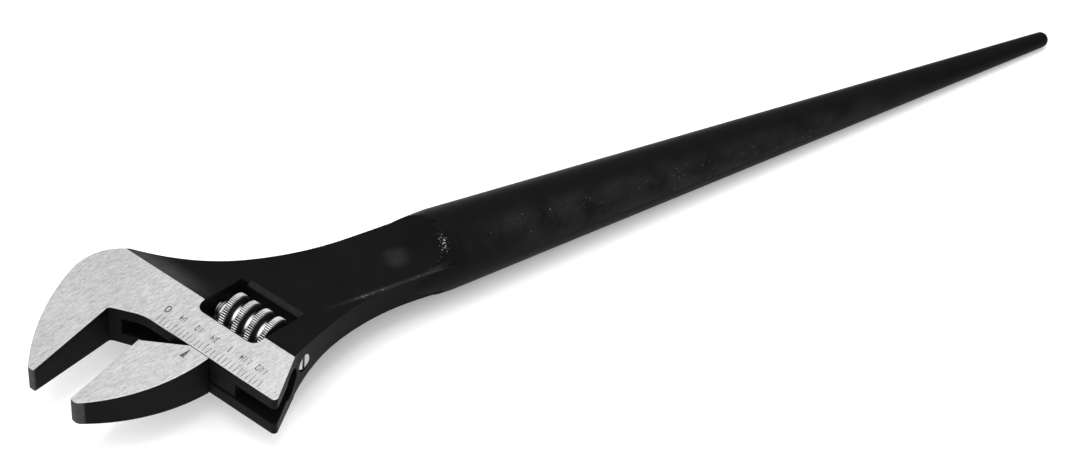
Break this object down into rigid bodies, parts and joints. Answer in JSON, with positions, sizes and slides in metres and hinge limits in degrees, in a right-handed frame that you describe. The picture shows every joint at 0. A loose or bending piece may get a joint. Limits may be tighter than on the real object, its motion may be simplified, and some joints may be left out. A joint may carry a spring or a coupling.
{
  "type": "adjustable spud wrench",
  "caption": "Adjustable wrench with an angled open jaw, a knurled worm that slides the lower jaw along a graduated slideway, and a long round handle tapering to an aligning point.",
  "frame": {"origin": "middle of the fixed jaw's flat gripping face, on the mid-plane of the head", "axes": "+X along the handle towards its pointed end, +Y towards the fixed jaw's side of the head, +Z out of the face that carries the scale"},
  "size_m": [0.407, 0.0795, 0.028],
  "materials": {
    "black_forging": "satin black oxide over forged steel, ground bright on the two head faces",
    "ground_jaw": "ground bright on the two wide faces, black oxide on the edges",
    "bright_worm": "polished bare steel with a fine axial knurl on the crests",
    "pin_steel": "darkened steel",
    "spring_steel": "plain spring wire"
  },
  "bodies": {
    "body": {"body_forging": "black_forging", "worm_pin": "pin_steel", "worm_spring": "spring_steel"},
    "jaw": {"sliding_jaw": "ground_jaw"},
    "worm": {"worm": "bright_worm"}
  },
  "joints": [
    {"name": "jaw_slide", "type": "slide", "parent": "body", "child": "jaw", "axis": [0.3827, -0.9239, 0], "range_m": [-0.0161, 0.0251]},
    {"name": "worm_spin", "type": "hinge", "parent": "body", "child": "worm", "pos_m": [0.0531, -0.01453, 0], "axis": [0.3827, -0.9239, 0], "range_deg": [-1740, 1117]}
  ],
  "couplings": [
    {"joint": "worm_spin", "follows": "jaw_slide", "rad_per_m": -1208.3}
  ]
}
